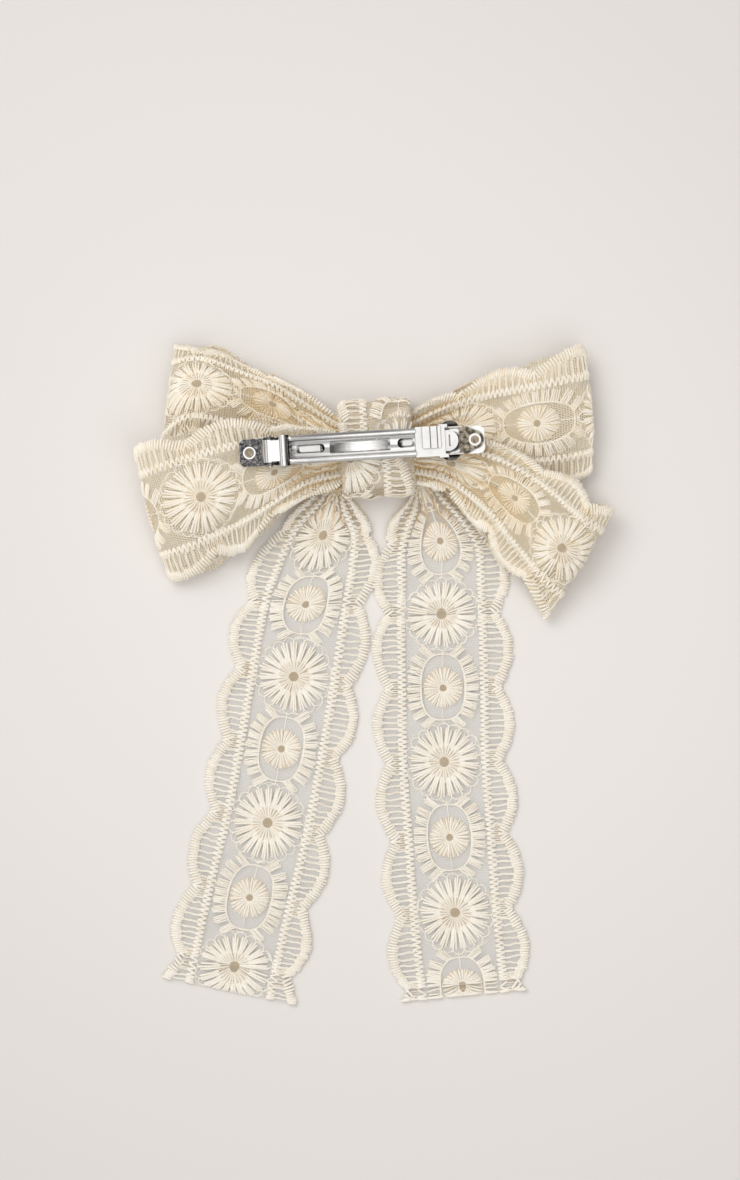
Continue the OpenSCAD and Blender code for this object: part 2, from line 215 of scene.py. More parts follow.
def metal_material(name, colour, rough, waviness, speckle=0.0, marks=None):
    """Plated sheet metal with rolling marks, faint waviness, stains, and painted shade where it is recessed.

    speckle lightens it in dots; marks is a function that adds what only this piece shows.
    """
    s = Shader(name)
    grain = s.noise(900, 5, s.place((0.12, 1, 1)))
    stain = s.noise(260, 5)
    worn = s.remap(stain, 0.45, 0.75, 0.0, 0.5 + speckle)
    base = s.mix(worn, colour, tuple(c * 0.72 for c in colour[:3]) + (1,))
    if speckle:
        dots = s.remap(s.noise(1500, 2), 0.42, 0.62, 0.0, speckle)
        base = s.mix(dots, base, tuple(c * 1.9 for c in colour[:3]) + (1,))
    # Painted shade in recesses: darker where ambient occlusion finds nearby surfaces.
    inner = s.node("AmbientOcclusion", {"Distance": RECESS}, samples=8).outputs["AO"]
    base = s.mix(s.remap(inner, 0.42, 0.92), (0.11, 0.105, 0.1, 1), base)
    if marks:
        base = marks(s, base)
    s.plug(base, "Base Color")
    s.plug(s.remap(grain, 0.3, 0.7, rough * 0.7, rough * 1.5), "Roughness")
    s.bump(s.noise(120, 2, s.place((0.4, 1, 1))), waviness)
    s.set(Metallic=1.0)
    return s.material


def hinge_end_dark_reflection(s, base):
    """Painted dark reflection on the plate's left tab, speckled, with a bright ring round its hole."""
    place = s.place()
    x = s.node("SeparateXYZ", {0: place}).outputs[0]
    # Painted dark reflection on the left tab, speckled.
    painted_dark = s.mix(s.remap(s.noise(1500, 4), 0.42, 0.68), (0.03, 0.03, 0.035, 1), (0.30, 0.29, 0.28, 1))
    base = s.mix(s.remap(x, HUMP_X + 0.003, HUMP_X - 0.001), base, painted_dark)
    rim = s.node("VectorMath", {0: place, 1: LEFT_HOLE}, operation="DISTANCE").outputs["Value"]
    return s.mix(s.remap(rim, 0.0021, 0.0019), base, (0.9, 0.89, 0.87, 1))


def arm_streaks_and_painted_light(s, base):
    """Grey streaks along the arm's rails; painted shade on the hump's inner flank and in the dip behind it,
    and painted light on the hump's outer side.
    """
    x, _, z = s.node("SeparateXYZ", {0: s.place()}).outputs
    # Painted shade on the hump's inner flank.
    flank_shade = s.math("MULTIPLY", s.remap(x, HUMP_X + 0.0001, HUMP_X + 0.0015, 0.0, 0.85),
                   s.remap(x, HUMP_X + 0.0023, HUMP_X + 0.0017))
    # Painted light: the hump's outer side keeps the clean arm colour, without stains or recess shade.
    outer = s.math("MULTIPLY", s.remap(x, HUMP_X - 0.0037, HUMP_X - 0.0033, 0.0, 0.7),
                   s.remap(x, HUMP_X + 0.0001, HUMP_X - 0.0007))
    base = s.mix(outer, base, ARM_COLOUR)
    streaks = s.remap(s.noise(620, 2, s.place((0.03, 1, 1))), 0.48, 0.6, 0.0, 0.8)
    lines = s.math("MULTIPLY", streaks, s.remap(x, HUMP_X + 0.002, HUMP_X + 0.003))
    base = s.mix(lines, base, (0.24, 0.24, 0.24, 1))
    # Painted shade in the dip behind the hump.
    dip = s.math("MULTIPLY", s.remap(x, HUMP_X + 0.0002, HUMP_X + 0.0012),
                 s.remap(x, HUMP_X + 0.0041, HUMP_X + 0.0033))
    floor = s.math("MULTIPLY", s.remap(z, DIP_FLOOR_Z + 0.0002, DIP_FLOOR_Z - 0.0002), dip)
    painted_dark = s.mix(s.remap(s.noise(1400, 3), 0.4, 0.65), (0.02, 0.02, 0.02, 1), (0.24, 0.23, 0.22, 1))
    return s.mix(s.math("MAXIMUM", flank_shade, floor), base, painted_dark)


def lap_crease_shade(s, base):
    """Painted shade: dark lines where the catch box's folded lap is creased."""
    x, y, _ = s.node("SeparateXYZ", {0: s.place()}).outputs
    left, right = (s.remap(s.math("ABSOLUTE", s.math("SUBTRACT", x, at)), 0.00026, 0.00012)
                   for at in LAP_CREASES)
    on_lap = s.remap(y, LAP_EDGE_Y - 0.0001, LAP_EDGE_Y + 0.0001, 0.0, 0.8)
    crease_shade = s.math("MULTIPLY", s.math("MAXIMUM", left, right), on_lap)
    return s.mix(crease_shade, base, (0.12, 0.12, 0.12, 1))


def mottled(s, base):
    """Burnt, patchy plating, nearly black in places."""
    patches = s.remap(s.noise(650, 4), 0.42, 0.6)
    return s.mix(0.75, base, s.mix(patches, (0.035, 0.03, 0.022, 1), (0.42, 0.37, 0.29, 1)))


def bar_painted_shade(s, base):
    """Painted shade on the bowed tension bar: it is bright in its middle, and darker towards its ends and
    long edges.
    """
    x, y = (s.math("ABSOLUTE", way) for way in s.node("SeparateXYZ", {0: s.place()}).outputs[:2])
    streaks = s.noise(500, 3, s.place((0.05, 1, 1)))
    streaky = s.math("ADD", x, s.math("MULTIPLY", streaks, 0.006))
    ends = s.math("MULTIPLY", s.remap(streaky, 0.005, 0.011, 0.0, 0.85),
                  s.remap(x, 0.0136, 0.0128, 0.4, 1.0))
    sides = s.remap(y, 0.0013, 0.0021, 0.0, 0.85)
    return s.mix(s.math("MAXIMUM", ends, sides), base, (0.10, 0.10, 0.10, 1))


NICKEL = (0.78, 0.775, 0.765, 1)
# The three threads are one cotton; each one's shade colour is painted shade, warmest in the loops for the
# light bounced in the layered lace.
tail_thread = embroidery_material("tail_thread", (0.92, 0.88, 0.805, 1), (0.84, 0.775, 0.665, 1))
lace_thread = embroidery_material("lace_thread", (0.93, 0.885, 0.80, 1), (0.84, 0.745, 0.58, 1))
knot_thread = embroidery_material("knot_thread", (0.97, 0.94, 0.88, 1), (0.86, 0.77, 0.62, 1))
# The nets are one net: the loops' and the knot's copies are tanner than the tails', painted shade of the
# layered lace around them.
tail_net = net_material("tail_net", (0.76, 0.75, 0.71, 1), (0.74, 0.62, 0.42, 1))
shaded_loop_net = net_material("shaded_loop_net", (0.88, 0.79, 0.62, 1), (0.86, 0.70, 0.45, 1), 0.4)
shaded_knot_net = net_material("shaded_knot_net", (0.86, 0.75, 0.58, 1), (0.76, 0.62, 0.42, 1), 0.3)
bright_nickel = metal_material("bright_nickel", NICKEL, 0.10, 0.00005)
arm_nickel = metal_material("arm_nickel", ARM_COLOUR, 0.08, 0.00006, marks=arm_streaks_and_painted_light)
box_nickel = metal_material("box_nickel", (0.70, 0.695, 0.685, 1), 0.10, 0.00005, marks=lap_crease_shade)
plate_nickel = metal_material("plate_nickel", (0.80, 0.79, 0.77, 1), 0.16, 0.00003, marks=hinge_end_dark_reflection)
spring_steel = metal_material("spring_steel", (0.90, 0.90, 0.89, 1), 0.09, 0.0003, marks=bar_painted_shade)
ear_nickel = metal_material("ear_nickel", (0.50, 0.48, 0.45, 1), 0.16, 0.00004, speckle=0.2)
dark_nickel = metal_material("dark_nickel", (0.17, 0.145, 0.11, 1), 0.25, 0.0001, speckle=0.4, marks=mottled)


def glue_material():
    s = Shader("set_glue")
    cloud = s.noise(400, 3)
    s.plug(s.mix(cloud, (0.85, 0.82, 0.74, 1), (0.72, 0.68, 0.58, 1)), "Base Color")
    s.plug(s.remap(cloud, 0.3, 0.7, 0.25, 0.45), "Roughness")
    s.bump(s.noise(700, 2), 0.0001)
    return s.material


# ---------------------------------------------------------------- ribbon surfaces

def smooth_between(a, b, c, d, u):
    """Smooth curve from b to c, with neighbours a and d."""
    return 0.5 * (2 * b + (c - a) * u + (2 * a - 5 * b + 4 * c - d) * u ** 2
                  + (3 * b - a - 3 * c + d) * u ** 3)


class Ribbon:
    """Lace swept through ribs of [p, one edge, middle, other edge], in mm, as in the CAD model.

    Where the ribs are narrower than the lace it gathers: the stiff braids stand up as ridges at
    nearly their full width, and the net between them sinks into folds up to fold_depth deep.
    facing is -1 where the ribs run the other way round, so that the stitches still lie outside.
    hollow, a pattern place p, q, is the middle of a broad dent in the loop.
    """

    def __init__(self, ribs, fold_depth=3.0, ruffle=0.6, phase=0.0, facing=1, hollow=None):
        self.at = np.array([r[0] for r in ribs], float)
        self.ribs = np.array([r[1:] for r in ribs], float)
        self.fold_depth, self.ruffle, self.phase, self.facing = fold_depth, ruffle, phase, facing
        self.hollow_at = hollow
        self.p_low, self.p_high = self.at[0], self.at[-1]
        low, middle, high = (self.ribs[:, k] for k in range(3))
        self.widths = np.linalg.norm(middle - low, axis=1) + np.linalg.norm(high - middle, axis=1)
        self.grid = np.linspace(-LACE_HALF - 1, LACE_HALF + 1, 401)
        self.summed = np.cumsum(self.ridge(self.grid)) * (self.grid[1] - self.grid[0])
        self.summed -= np.interp(0, self.grid, self.summed)

    @staticmethod
    def ridge(q):
        """1 on the crest of each ridge across the gathered lace, 0 in the folds."""
        return sum(height * np.exp(-((np.abs(q) - at) / width) ** 2) for at, width, height in RIDGES)

    def pinch(self, p):
        """0 where the lace lies at full width, 1 where it is fully gathered."""
        spare = (2 * LACE_HALF / np.interp(p, self.at, self.widths)) ** 2 - 1
        return np.clip(spare / FULL_GATHER, 0, 1)

    def across(self, p, q):
        """Place of q between the ribs' ends, from -1 to 1."""
        pinch = self.pinch(p)
        plain = 1 - 0.84 * pinch
        return ((plain * q + pinch * np.interp(q, self.grid, self.summed))
                / (plain * LACE_HALF + pinch * np.interp(LACE_HALF, self.grid, self.summed)))

    def base(self, p, q):
        last = len(self.at) - 1
        s = np.interp(p, self.at, np.arange(last + 1))
        i = np.clip(s.astype(int), 0, last - 1)
        u = (s - i)[..., None, None]
        rib = smooth_between(self.ribs[np.maximum(i - 1, 0)], self.ribs[i], self.ribs[i + 1],
                             self.ribs[np.minimum(i + 2, last)], u)
        t = self.across(p, q)[..., None]
        low, middle, high = rib[..., 0, :], rib[..., 1, :], rib[..., 2, :]
        return middle + t * (high - low) / 2 + t ** 2 * ((low + high) / 2 - middle)

    def normal(self, p, q, step=0.4):
        ahead, behind = np.minimum(p + step, self.p_high), np.maximum(p - step, self.p_low)
        along = self.base(ahead, q) - self.base(behind, q)
        over = self.base(p, q + step) - self.base(p, q - step)
        n = self.facing * np.cross(along, over)
        return n / np.maximum(np.linalg.norm(n, axis=-1, keepdims=True), 1e-9)

    def hollow(self, p, q):
        """1 in the middle of the dent, falling to 0 round it."""
        if self.hollow_at is None:
            return np.zeros_like(p)
        from_p, from_q = (p - self.hollow_at[0]) / HOLLOW_P, (q - self.hollow_at[1]) / HOLLOW_Q
        return np.exp(-from_p ** 2 - from_q ** 2)

    def wave(self, p, q):
        """Height of folds, ruffled edges and slight unevenness above the smooth surface."""
        pinch = self.pinch(p)
        fold = self.fold_depth * pinch * (self.ridge(q) - 0.45 + 0.12 * np.sin(0.23 * p + q + self.phase))
        swing = np.sin(2 * np.pi * p / RUFFLE_LENGTH + 2.1 * np.sign(q) + self.phase)
        edge = self.ruffle * np.abs(q / LACE_HALF) ** 3 * swing
        uneven = 0.12 * np.sin(0.31 * p + 0.2 * q + self.phase) + 0.1 * np.sin(0.17 * p - 0.36 * q)
        return fold + edge * (1 - pinch) + uneven - HOLLOW_DEPTH * self.hollow(p, q)

    def shade(self, p, q):
        """Painted shade: how much deeper the thread's colour is made down in the folds and in the dent, and a
        little lighter on the ridges' crests.
        """
        fold_shade = self.pinch(p) * (2.1 * (1 - np.minimum(self.ridge(q), 1)) ** 1.7 - 0.15)
        return fold_shade + 0.9 * self.hollow(p, q)

    def place(self, p, q, lift):
        """Points in metres for pattern places p, q, and the surface's normals there."""
        n = self.normal(p, q)
        points = self.base(p, q) + n * (self.wave(p, q) + lift)[..., None]
        points[..., 2] = np.maximum(points[..., 2], RESTING)
        return points * MM, n


def scallop_half(p):
    """Half width of the lace at p: round scallops that meet level with every daisy."""
    return VALLEY_HALF + (LACE_HALF - VALLEY_HALF) * np.abs(np.sin(np.pi * p / HALF_REPEAT))


# ---------------------------------------------------------------- embroidery pattern

def polylines(points, radius, lift=0.0, taper=0.75):
    """A group of stitches: points is (count, steps, 2); radius and lift may be numbers or arrays."""
    points = np.asarray(points, float)
    count, steps = points.shape[:2]
    u = np.linspace(0, 1, steps)
    radius = np.broadcast_to(np.asarray(radius, float).reshape(-1, 1), (count, steps)).copy()
    radius[:, 0] *= taper
    radius[:, -1] *= taper
    crown = np.broadcast_to(np.asarray(lift, float).reshape(-1, 1) * np.sin(np.pi * u), (count, steps))
    return {"points": points, "radius": radius, "lift": crown}


def straight(starts, ends, steps=3):
    """Straight stitches from each start to each end."""
    u = np.linspace(0, 1, steps)[None, :, None]
    return np.asarray(starts)[:, None, :] * (1 - u) + np.asarray(ends)[:, None, :] * u


def polar(centre, radius, angle):
    """Pattern places round a daisy's centre, by radius and angle from +q."""
    return np.stack([centre + radius * np.sin(angle), radius * np.cos(angle)], axis=-1)


def jitter(count, size):
    """Random offsets up to size either way."""
    return rng.uniform(-size, size, count)


def satin_disc(centre, pairs, inner, outer, wobble, radius):
    """Radial stitches round an open eye, drawn narrower towards it. Every other stitch lies lower
    and is given a deeper tone, painted shade, so that its neighbours stand apart."""
    groups = []
    for first, lift, tone_and_shade in ((0.0, 0.4, -0.1), (0.5, -0.1, 0.9)):
        angle = (np.arange(pairs) + first) * 2 * np.pi / pairs + jitter(pairs, 0.025)
        starts = polar(centre, inner + jitter(pairs, 0.06), angle)
        ends = polar(centre, outer + jitter(pairs, wobble), angle + jitter(pairs, 0.015))
        group = dict(polylines(straight(starts, ends, 4), radius, lift), tone_and_shade=tone_and_shade)
        group["radius"] *= (0.45, 0.75, 1.0, 1.0)
        groups.append(group)
    return groups


def eye_net(centre, size):
    """The threads crossing a daisy's eye, in the deepest tone: painted shade in the eye."""
    offset = np.arange(-size + 0.35, size, 0.42)
    reach = np.sqrt(size ** 2 - offset ** 2)
    one = straight(np.stack([offset, -reach], -1), np.stack([offset, reach], -1))
    lines = np.concatenate([one, one[..., ::-1]]) + np.array([centre, 0])
    return dict(polylines(lines, 0.14, 0.0, 1.0), tone_and_shade=EYE_SHADE_TONE)


def large_daisy(centre):
    """Dense disc round an open eye, twenty petals of three strands, and a picot ring."""
    petals, petal_root, picot_ring = 20, 5.0, 11.7
    groups = [
        *satin_disc(centre, 26, LARGE_EYE, LARGE_DISC, 0.4, 0.36),
        eye_net(centre, LARGE_EYE),
    ]
    heads = np.linspace(0, 2 * np.pi, petals, endpoint=False) + np.pi / petals
    for strand, reach in ((-1, 11.2), (0, 11.9), (1, 11.2)):
        inner = heads + strand * 0.082
        outer = heads + strand * 0.078 + jitter(petals, 0.012)
        starts = polar(centre, petal_root + jitter(petals, 0.4), inner)
        ends = polar(centre, reach + jitter(petals, 0.35), outer)
        groups.append(polylines(straight(starts, ends, 4), 0.4, 0.3 + 0.15 * (strand == 0), 0.9))
    u = np.linspace(0, 1, 6)[None, :]
    turn = 2 * np.pi / petals
    angles = heads[:, None] + turn * u
    ring = picot_ring + 1.2 * np.sin(np.pi * u) + jitter(petals, 0.15)[:, None]
    groups.append(dict(polylines(polar(centre, ring, angles), 0.16, 0.0, 1.0), tone_and_shade=-0.7))

    count, steps = 30, 5     # loose threads wandering outside the ring
    angles = rng.uniform(0, 2 * np.pi, count)[:, None] + np.linspace(0, 0.3, steps)
    angles = angles + jitter(count * steps, 0.03).reshape(count, steps)
    wander = rng.uniform(12.2, 13.2, count)[:, None] + jitter(count * steps, 0.45).reshape(count, steps)
    loose = polar(centre, wander, angles)
    loose = loose[(np.abs(loose[..., 1]) < BRAID_Q).all(axis=1)]
    groups.append(polylines(loose, 0.1, 0.0, 1.0))
    return groups


def small_daisy(centre):
    """Close radial satin round a small eye, in an oval corded opening with satin bars outside."""
    oval_q, oval_p = 7.0, 10.6                  # half sizes of the opening
    bars, longest, lean_at_ends = 9, 4.9, 40    # outside it, on each side
    groups = [
        *satin_disc(centre, 26, SMALL_EYE - 0.05, SMALL_DISC, 0.18, 0.4),
        eye_net(centre, SMALL_EYE),
        polylines([[(centre + sign * r, jitter(1, 0.2)[0]) for r in (6.4, 8.6, 10.6, 12.2)]
                   for sign in (-1, 1)], FINE_R, 0.0, 1.0),
    ]
    starts, ends = [], []
    for side in (1, -1):
        for at in np.linspace(-9.9, 9.9, bars):
            ahead = np.array([at - 0.3, at + 0.3])
            rim = oval_q * (1 - np.abs(ahead / oval_p) ** 2.5) ** 0.4
            tangent = np.array([0.6, side * (rim[1] - rim[0])])
            tangent /= np.linalg.norm(tangent)
            root = np.array([at, side * rim.mean()])
            tilt = math.radians(lean_at_ends) * at / oval_p + rng.uniform(-0.07, 0.07)
            head = np.array([math.sin(tilt), side * math.cos(tilt)])
            across = np.array([math.cos(tilt), -side * math.sin(tilt)])
            reach = min((BRAID_Q - BRAID_W / 2 - abs(root[1])) / abs(head[1]), longest)
            for strand in (-1.5, -0.5, 0.5, 1.5):
                starts.append(root + tangent * strand * 0.64)
                ends.append(root + head * (reach + rng.uniform(-0.5, 0.3)) + across * strand * 0.6)
    outside = straight(starts, ends, 4) + np.array([centre, 0])
    outside[:, 1:3] += rng.uniform(-0.12, 0.12, outside[:, 1:3].shape)
    groups.append(polylines(outside, 0.31, 0.35, 0.9))

    turn = np.linspace(0, 2 * np.pi, 361)
    rim_p = oval_p * np.sign(np.sin(turn)) * np.abs(np.sin(turn)) ** 0.8
    rim_q = oval_q * np.sign(np.cos(turn)) * np.abs(np.cos(turn)) ** 0.8
    rim = np.stack([centre + rim_p, rim_q], -1) * np.array([1, 1.05])
    groups.append(polylines(straight(rim[:-1:5], rim[5::5]), 0.36, 0.1))
    return groups


def straight_braid(side, p0, p1):
    """Close cross stitches, slanting one way and the other in turn."""
    p = np.arange(p0, p1, BRAID_PITCH)
    slant = np.where(np.arange(p.size) % 2 == 0, 0.3, -0.3)
    half = BRAID_W / 2 + jitter(p.size, 0.2)
    starts = np.stack([p - slant, side * (BRAID_Q - half)], -1)
    ends = np.stack([p + slant, side * (BRAID_Q + half)], -1)
    return polylines(straight(starts, ends), 0.43, 0.3, 0.9)


def scalloped_braid(side, p0, p1):
    """Close stitches square to the scalloped edge."""
    p = np.arange(p0, p1, SCALLOP_PITCH)
    inset = SCALLOP_W / 2
    slope = np.clip((scallop_half(p + 0.3) - scallop_half(p - 0.3)) / 0.6, -0.8, 0.8)
    out = np.stack([-slope, np.ones_like(p)], -1) / np.sqrt(1 + slope ** 2)[:, None]
    middle = np.stack([p, scallop_half(p) - inset], -1)
    starts = middle - out * (inset + jitter(p.size, 0.35))[:, None]
    ends = middle + out * (inset + jitter(p.size, 0.4))[:, None]
    flip = np.array([1, side])
    return polylines(straight(starts * flip, ends * flip, 4), 0.45, 0.4, 0.9)


def ladder(side, p0, p1):
    """Paired bars across each scallop, and close short stitches where two scallops meet."""
    clear, rungs, knots_each = 3.2, 10, 8
    bars, knots = [], []
    for k in range(math.ceil(p0 / HALF_REPEAT) - 1, math.ceil(p1 / HALF_REPEAT) + 1):
        valley = k * HALF_REPEAT
        for step in np.linspace(clear, HALF_REPEAT - clear, rungs):
            at = valley + step
            reach = scallop_half(np.array(at)) - SCALLOP_W
            sway = rng.uniform(-0.3, 0.3, 4)
            along_q = [side * (BRAID_Q + 1 + (reach - BRAID_Q - 0.4) * i / 3) for i in range(4)]
            for strand in (-0.16, 0.16):
                bars.append([(at + strand + sway[i], along_q[i]) for i in range(4)])
        for step in np.linspace(-2.6, 2.6, knots_each):
            at = valley + step
            knots.append([(at, side * (BRAID_Q + 0.9)), (at, side * (scallop_half(np.array(at)) - 2))])
    knots = np.array(knots)
    return [polylines(bars, FINE_R, 0.1, 1.0),
            dict(polylines(straight(knots[:, 0], knots[:, 1]), THREAD_R, 0.3), tone_and_shade=0.5)]


def clipped(group, p0, p1):
    """The stitches between p0 and p1; those that cross a cut end are shortened to it."""
    points, radius, lift = group["points"], group["radius"], group["lift"]
    p = points[..., 0]
    inside = (p >= p0) & (p <= p1)
    keep = inside.any(axis=1)
    points, radius, lift, inside = points[keep], radius[keep], lift[keep], inside[keep]
    for i in np.nonzero(~inside.all(axis=1))[0]:
        line = points[i]
        fine = np.linspace(0, 1, 33)
        own = np.linspace(0, 1, len(line))
        dense = np.stack([np.interp(fine, own, line[:, k]) for k in (0, 1)], -1)
        ok = np.nonzero((dense[:, 0] >= p0) & (dense[:, 0] <= p1))[0]
        part = np.linspace(fine[ok[0]], fine[ok[-1]], len(line))
        points[i] = np.stack([np.interp(part, own, line[:, k]) for k in (0, 1)], -1)
    return dict(group, points=points, radius=radius, lift=lift)


def embroidery(p0, p1):
    """Every stitch of the lace from p0 to p1."""
    groups = []
    for side in (-1, 1):
        groups += [straight_braid(side, p0, p1), scalloped_braid(side, p0, p1), *ladder(side, p0, p1)]
    widest = 13              # reach of a daisy along the ribbon
    for k in range(math.floor((p0 - widest) / REPEAT), math.ceil((p1 + widest) / REPEAT) + 1):
        groups += large_daisy(k * REPEAT)
        groups += small_daisy((k + 0.5) * REPEAT)
    return [clipped(g, p0, p1) for g in groups]


# ---------------------------------------------------------------- meshes

def make_mesh(name, vertices, quads, material, tone_and_shade=None, uv=None, smooth=True):
    """A mesh object from numpy arrays of vertices and four-cornered faces."""
    mesh = bpy.data.meshes.new(name)
    mesh.vertices.add(len(vertices))
    mesh.vertices.foreach_set("co", np.ascontiguousarray(vertices, np.float32).ravel())
    mesh.loops.add(quads.size)
    mesh.loops.foreach_set("vertex_index", quads.ravel().astype(np.int32))
    mesh.polygons.add(len(quads))
    mesh.polygons.foreach_set("loop_start", np.arange(0, quads.size, 4, dtype=np.int32))
    mesh.polygons.foreach_set("loop_total", np.full(len(quads), 4, np.int32))
    mesh.polygons.foreach_set("use_smooth", np.full(len(quads), smooth))
    if tone_and_shade is not None:
        mesh.attributes.new("tone_and_shade", "FLOAT", "POINT").data.foreach_set("value", tone_and_shade.astype(np.float32))
    if uv is not None:
        layer = mesh.uv_layers.new(name="UVMap")
        layer.data.foreach_set("uv", uv[quads.ravel()].astype(np.float32).ravel())
    mesh.update(calc_edges=True)
    mesh.validate()
    mesh.materials.append(material)
    made = bpy.data.objects.new(name, mesh)
    bpy.context.collection.objects.link(made)
    return made


def grid_quads(shape):
    """Four-cornered faces over a grid of points numbered row by row."""
    index = np.arange(shape[0] * shape[1]).reshape(shape[:2])
    corners = [index[:-1, :-1], index[1:, :-1], index[1:, 1:], index[:-1, 1:]]
    return np.stack(corners, -1).reshape(-1, 4)


def stitch_mesh(name, groups, surface, material):
    """Every stitch as a short closed tube laid on the surface, its flanks deeper in tone than its top:
    painted shade.
    """
    vertices, quads, tones = [], [], []
    total, sides = 0, 6
    turn = np.arange(sides) * 2 * np.pi / sides
    # Painted shade: a stitch's flanks are given a deeper tone than its top.
    flank_shade = 0.8 * (1 - np.abs(np.sin(turn))) - 0.1
    for g in groups:
        points, radius, lift = g["points"], g["radius"], g["lift"]
        if not len(points):
            continue
        count, steps = points.shape[:2]
        at, normal = surface.place(points[..., 0], points[..., 1], lift + jitter(count, 0.07)[:, None])
        heading = np.gradient(at, axis=1)
        heading /= np.maximum(np.linalg.norm(heading, axis=-1, keepdims=True), 1e-12)
        side = np.cross(heading, normal)
        side /= np.maximum(np.linalg.norm(side, axis=-1, keepdims=True), 1e-12)
        up = np.cross(side, heading)
        r = (radius * MM)[..., None, None]
        ring = at[:, :, None, :] + r * (np.cos(turn)[:, None] * side[:, :, None, :]
                                        + np.sin(turn)[:, None] * up[:, :, None, :])
        index = total + np.arange(count * steps * sides).reshape(count, steps, sides)
        following = np.roll(index, -1, axis=2)
        wall = np.stack([index[:, :-1], index[:, 1:], following[:, 1:], following[:, :-1]], -1)
        vertices.append(ring.reshape(-1, 3))
        quads += [wall.reshape(-1, 4), index[:, 0, :4], index[:, 0, [0, 3, 4, 5]],
                  index[:, -1, 3::-1], index[:, -1, [5, 4, 3, 0]]]
        # Painted shade of the folds, plus each group's own tone.
        depth = surface.shade(points[..., 0], points[..., 1]) + g.get("tone_and_shade", 0.0)
        tone_and_shade = rng.uniform(-0.25, 0.35, (count, 1)) + depth
        tones.append((tone_and_shade[:, :, None] + flank_shade).ravel())
        total += count * steps * sides
    return make_mesh(name, np.concatenate(vertices), np.concatenate(quads), material,
                     np.concatenate(tones), smooth=False)


def net_mesh(name, surface, p0, p1, material, columns=60, step=1.0):
    """The net ground, cut along the scallops."""
    rows = int((p1 - p0) / step) + 1
    p = np.linspace(p0, p1, rows + 1)[:, None] + np.zeros(columns + 1)
    q = np.linspace(-1, 1, columns + 1) * (scallop_half(p) - NET_INSET)
    points, _ = surface.place(p, q, np.zeros_like(p))
    uv = np.stack([p, q], -1).reshape(-1, 2)
    # Painted shade: the net's tone deepens down in the folds.
    tone_and_shade = surface.shade(p, q).ravel()
    return make_mesh(name, points.reshape(-1, 3), grid_quads(points.shape), material, tone_and_shade, uv)


# ---------------------------------------------------------------- loops and tails

upper_left = Ribbon([
    [-56, (-2, -7, 5.0), (-1, 2, 6.2), (-2, 11, 5.4)],
    [-50, (-7.3, -8, 5.4), (-7.3, 2.5, 6.8), (-7.3, 12.6, 5.9)],
    [-36.5, (-21, -5, 5), (-19, 9.5, 7.6), (-20, 20.9, 5.4)],
    [-24.4, (-33, -2, 4.8), (-28.6, 16.2, 8.4), (-32, 26.5, 5)],
    [0, (-57, 3.5, 5.2), (-52.5, 24, 12.5), (-49.5, 36.2, 4.4)],
    [13.5, (-66.5, -4, 3.4), (-62.6, 21, 6.5), (-58.8, 37.8, 3)],
    [27, (-56, 4, 1.5), (-52, 24, 2.1), (-49.5, 38, 1.6)],
    [52, (-33, -1, 2.2), (-29, 14, 2.8), (-32, 28.5, 2.4)],
    [77, (-7.3, -8, 3.8), (-7.3, 2, 4.1), (-7.3, 13.5, 3.8)],
    [83, (-2, -7, 3.8), (-1, 2, 4.0), (-2, 11, 3.8)],
], phase=0.4, facing=-1, hollow=(-25, -1))
lower_left = Ribbon([
    [-53, (-2, -11, 9.6), (-1, -3, 11.4), (-2, 5, 10.2)],
    [-47.5, (-7.3, -13, 10.2), (-7.3, -3, 12.2), (-7.3, 6, 10.9)],
    [-34.5, (-21.5, -16.4, 8.4), (-20, -4.5, 14), (-20, 8.3, 12.2)],
    [-19.2, (-36, -27.7, 7), (-34.5, -8, 15), (-36, 12.1, 13.8)],
    [0, (-48.5, -36.3, 5.5), (-53.5, -13.2, 15.6), (-59, 8.8, 14.8)],
    [20, (-65.6, -40.8, 3.6), (-71, -18.3, 8.5), (-74.7, 4.8, 12)],
    [39, (-49, -36, 1.5), (-53.5, -13.2, 4.4), (-58.5, 8, 9.8)],
    [58.5, (-36, -27.2, 3.6), (-34.5, -8, 7), (-36, 11.5, 10.2)],
    [73.5, (-21.5, -16, 5.6), (-20, -4.5, 8.4), (-20, 8, 9.8)],
    [86.5, (-7.3, -13, 8.2), (-7.3, -3, 9.2), (-7.3, 6, 8.8)],
    [92, (-2, -11, 8.0), (-1, -3, 8.8), (-2, 5, 8.4)],
], phase=2.0, facing=-1)
upper_right = Ribbon([
    [-24, (11, -8, 5.2), (10, 1.5, 6.2), (11, 9.6, 5.4)],
    [-17, (16.7, -9, 5.4), (16.7, 1.5, 6.8), (16.7, 11, 5.9)],
    [-8.4, (24, -9, 5.2), (25, 3.5, 7.4), (24, 14.8, 6.4)],
    [4.7, (38, -12, 5), (38, 4.5, 8.4), (39, 20.8, 7.4)],
    [24.4, (57.5, -17, 4.6), (57.7, 4.4, 11), (57.7, 25.3, 10)],
    [43.5, (74.7, -13.6, 4), (76, 6, 7), (74.8, 29.8, 6.5)],
    [62.5, (57.5, -17, 1.6), (57.7, 4.4, 2.2), (57.7, 25, 2.6)],
    [82, (38, -12, 2.2), (38, 4.5, 2.8), (39, 20.5, 3)],
    [103, (16.7, -9, 3.8), (16.7, 1.5, 4.1), (16.7, 10.4, 3.8)],
    [109, (11, -8, 3.8), (10, 1.5, 4.0), (11, 9, 3.8)],
], phase=1.2)
